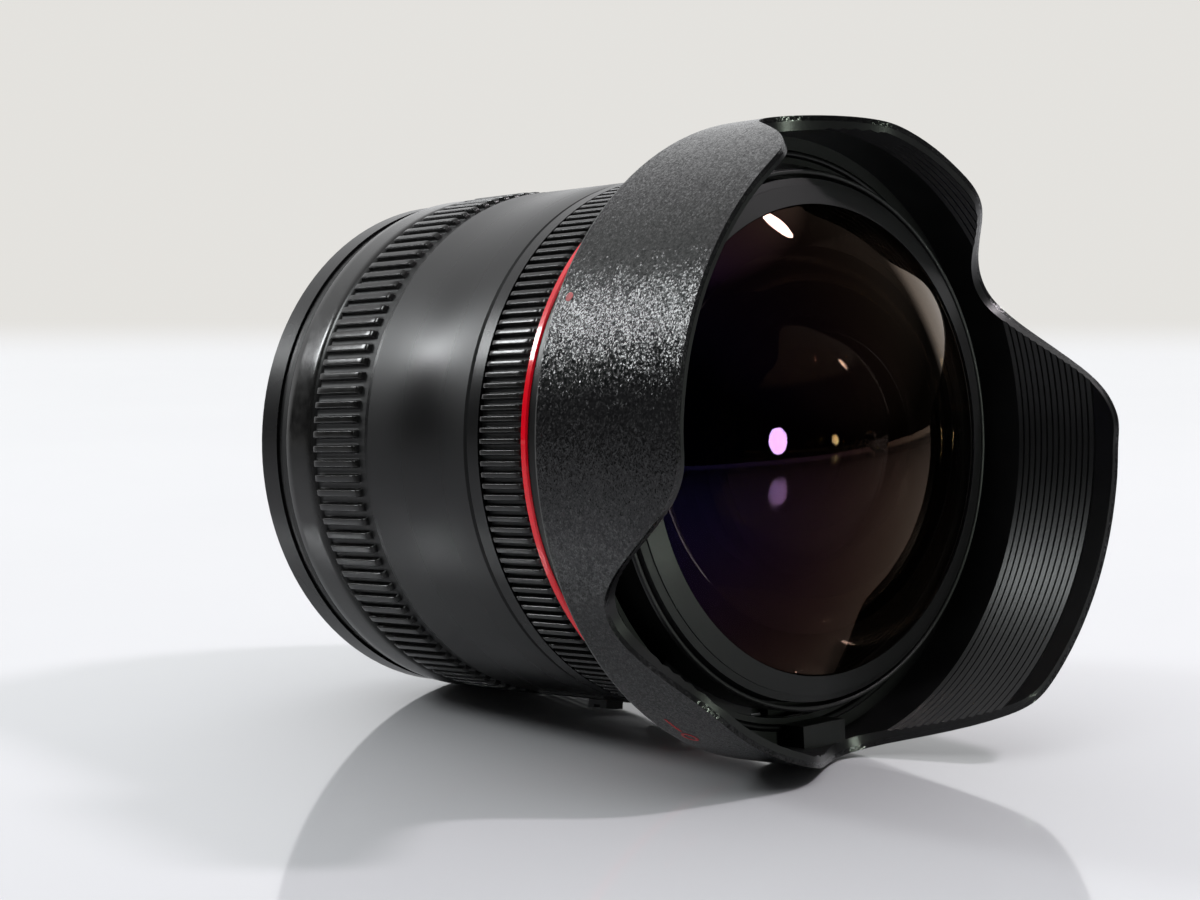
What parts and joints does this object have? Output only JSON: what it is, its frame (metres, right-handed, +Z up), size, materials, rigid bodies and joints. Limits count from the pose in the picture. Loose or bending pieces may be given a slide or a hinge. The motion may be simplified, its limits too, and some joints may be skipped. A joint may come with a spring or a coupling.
{
  "type": "wide-angle camera lens",
  "caption": "Fisheye zoom lens with a bulging front glass, ribbed zoom and focus rings, a red ring, a bayonet mount and a petal hood that locks on.",
  "frame": {"origin": "on the optical axis, in the plane of the mount's seat face", "axes": "+X along the optical axis towards the subject; +Z up as the lens lies on its side in the picture; the lens's own top is 29 degrees from +Y towards -Z"},
  "size_m": [0.109, 0.0908, 0.0908],
  "materials": {
    "mount_steel": "bright plated, fine turned lines",
    "screw_steel": "bright plated",
    "seal_rubber": "matte",
    "barrel_black": "fine matte black paint on a metal barrel",
    "barrel_satin": "smooth satin black paint on a metal barrel",
    "anodised_black": "black anodised",
    "contact_plastic": "matte moulded",
    "contact_gold": "gold plated",
    "baffle_black": "dead matte",
    "holder_black": "matte moulded",
    "board_green": "solder mask",
    "ring_black": "fine matte black paint",
    "key_brass": "machined",
    "grip_rubber": "matte ribbed rubber",
    "window_clear": "clear moulded pane",
    "panel_black": "fine satin",
    "switch_black": "satin",
    "scale_black": "matte black drum",
    "motor_steel": "machined",
    "rotor_aluminium": "machined",
    "collar_black": "satin black",
    "red_gloss": "gloss red lacquer",
    "hood_black": "fine grained matte",
    "button_black": "fine grained matte",
    "spring_steel": "bright",
    "carrier_black": "black anodised",
    "roller_brass": "turned",
    "bezel_grey": "satin dark grey",
    "front_glass": "coated, purple to amber reflections",
    "lens_glass": "coated",
    "retainer_black": "blackened",
    "iris_plate": "blackened",
    "blade_black": "thin matte black sheet"
  },
  "bodies": {
    "body": {"mount_flange": "mount_steel", "mount_screws": "screw_steel", "mount_seal": "seal_rubber", "rear_barrel": "barrel_black", "guide_tube": "anodised_black", "contact_block": "contact_plastic", "contact_pins": "contact_gold", "rear_baffle": "baffle_black", "gel_filter_holder": "holder_black", "main_board": "board_green", "middle_barrel": "barrel_satin", "distance_window": "window_clear", "switch_panel": "panel_black", "motor_stator": "motor_steel", "front_barrel": "collar_black", "red_ring": "red_gloss"},
    "zoom": {"zoom_ring": "ring_black", "zoom_grip": "grip_rubber", "zoom_key": "key_brass", "cam_barrel": "anodised_black"},
    "focus": {"focus_ring": "ring_black", "focus_grip": "grip_rubber"},
    "focus_drive": {"focus_drive_tube": "anodised_black", "distance_scale": "scale_black", "motor_rotor": "rotor_aluminium"},
    "front_group": {"front_carrier": "carrier_black", "front_rollers": "roller_brass", "front_bezel": "bezel_grey", "front_element": "front_glass", "second_element": "lens_glass", "third_element": "lens_glass", "fourth_element": "lens_glass", "inner_retainer": "retainer_black", "doublet_retainer": "retainer_black"},
    "second_group": {"second_carrier": "carrier_black", "second_rollers": "roller_brass", "fifth_element": "lens_glass", "sixth_element": "lens_glass"},
    "rear_group": {"rear_carrier": "carrier_black", "rear_rollers": "roller_brass", "seventh_element": "lens_glass", "eighth_element": "lens_glass", "ninth_element": "lens_glass", "rear_retainer": "retainer_black", "aperture_motor": "motor_steel", "aperture_base": "iris_plate", "aperture_cover": "iris_plate"},
    "iris_ring": {"aperture_drive_ring": "iris_plate"},
    "hood_assembly": {"hood": "hood_black", "button_spring": "spring_steel"},
    "hood_button": {"hood_release_button": "button_black"},
    "af_mf": {"af_mf_switch": "switch_black"},
    "zoom_limit": {"zoom_limit_switch": "switch_black"},
    "blade_1": {"aperture_blade_1": "blade_black"},
    "blade_2": {"aperture_blade_2": "blade_black"},
    "blade_3": {"aperture_blade_3": "blade_black"},
    "blade_4": {"aperture_blade_4": "blade_black"},
    "blade_5": {"aperture_blade_5": "blade_black"},
    "blade_6": {"aperture_blade_6": "blade_black"},
    "blade_7": {"aperture_blade_7": "blade_black"}
  },
  "joints": [
    {"name": "zoom_ring_turn", "type": "hinge", "parent": "body", "child": "zoom", "pos_m": [0, 0, 0], "axis": [1, 0, 0], "range_deg": [0, 60]},
    {"name": "second_group_slide", "type": "slide", "parent": "body", "child": "second_group", "axis": [1, 0, 0], "range_m": [0, 0.003]},
    {"name": "rear_group_slide", "type": "slide", "parent": "body", "child": "rear_group", "axis": [1, 0, 0], "range_m": [0, 0.004]},
    {"name": "focus_ring_turn", "type": "hinge", "parent": "body", "child": "focus", "pos_m": [0, 0, 0], "axis": [1, 0, 0], "range_deg": [0, 100]},
    {"name": "focus_drive_turn", "type": "hinge", "parent": "body", "child": "focus_drive", "pos_m": [0, 0, 0], "axis": [1, 0, 0], "range_deg": [0, 50]},
    {"name": "front_group_slide", "type": "slide", "parent": "body", "child": "front_group", "axis": [1, 0, 0], "range_m": [0, 0.0025]},
    {"name": "aperture_ring_turn", "type": "hinge", "parent": "rear_group", "child": "iris_ring", "pos_m": [0.0287, 0, 0], "axis": [1, 0, 0], "range_deg": [0, 5.18]},
    {"name": "hood_twist", "type": "hinge", "parent": "body", "child": "hood_assembly", "pos_m": [0.0755, 0, 0], "axis": [1, 0, 0], "range_deg": [0, 90]},
    {"name": "hood_release_press", "type": "slide", "parent": "hood_assembly", "child": "hood_button", "axis": [0, 0.0175, 0.9998], "range_m": [0, 0.0008], "stiffness_N_per_m": 500, "springref_m": -0.002},
    {"name": "af_mf_switch_slide", "type": "slide", "parent": "body", "child": "af_mf", "axis": [-1, 0, 0], "range_m": [0, 0.0026]},
    {"name": "zoom_limit_switch_slide", "type": "slide", "parent": "body", "child": "zoom_limit", "axis": [-1, 0, 0], "range_m": [0, 0.0026]},
    {"name": "aperture_blade_1_turn", "type": "hinge", "parent": "rear_group", "child": "blade_1", "pos_m": [0.0271, 0.0188, -0.01042], "axis": [1, 0, 0], "range_deg": [0, 28]},
    {"name": "aperture_blade_2_turn", "type": "hinge", "parent": "rear_group", "child": "blade_2", "pos_m": [0.0273, 0.01987, 0.0082], "axis": [1, 0, 0], "range_deg": [0, 28]},
    {"name": "aperture_blade_3_turn", "type": "hinge", "parent": "rear_group", "child": "blade_3", "pos_m": [0.0275, 0.00598, 0.02065], "axis": [1, 0, 0], "range_deg": [0, 28]},
    {"name": "aperture_blade_4_turn", "type": "hinge", "parent": "rear_group", "child": "blade_4", "pos_m": [0.0277, -0.01242, 0.01755], "axis": [1, 0, 0], "range_deg": [0, 28]},
    {"name": "aperture_blade_5_turn", "type": "hinge", "parent": "rear_group", "child": "blade_5", "pos_m": [0.0279, -0.02146, 0.00123], "axis": [1, 0, 0], "range_deg": [0, 28]},
    {"name": "aperture_blade_6_turn", "type": "hinge", "parent": "rear_group", "child": "blade_6", "pos_m": [0.0281, -0.01435, -0.01601], "axis": [1, 0, 0], "range_deg": [0, 28]},
    {"name": "aperture_blade_7_turn", "type": "hinge", "parent": "rear_group", "child": "blade_7", "pos_m": [0.0283, 0.00357, -0.0212], "axis": [1, 0, 0], "range_deg": [0, 28]}
  ],
  "couplings": [
    {"joint": "zoom_ring_turn", "follows": "rear_group_slide", "rad_per_m": 261.8},
    {"joint": "second_group_slide", "follows": "rear_group_slide", "ratio": 0.75},
    {"joint": "focus_ring_turn", "follows": "front_group_slide", "rad_per_m": 698.13},
    {"joint": "focus_drive_turn", "follows": "front_group_slide", "rad_per_m": 349.07},
    {"joint": "aperture_blade_1_turn", "follows": "aperture_ring_turn", "ratio": 5.4},
    {"joint": "aperture_blade_2_turn", "follows": "aperture_ring_turn", "ratio": 5.4},
    {"joint": "aperture_blade_3_turn", "follows": "aperture_ring_turn", "ratio": 5.4},
    {"joint": "aperture_blade_4_turn", "follows": "aperture_ring_turn", "ratio": 5.4},
    {"joint": "aperture_blade_5_turn", "follows": "aperture_ring_turn", "ratio": 5.4},
    {"joint": "aperture_blade_6_turn", "follows": "aperture_ring_turn", "ratio": 5.4},
    {"joint": "aperture_blade_7_turn", "follows": "aperture_ring_turn", "ratio": 5.4}
  ]
}
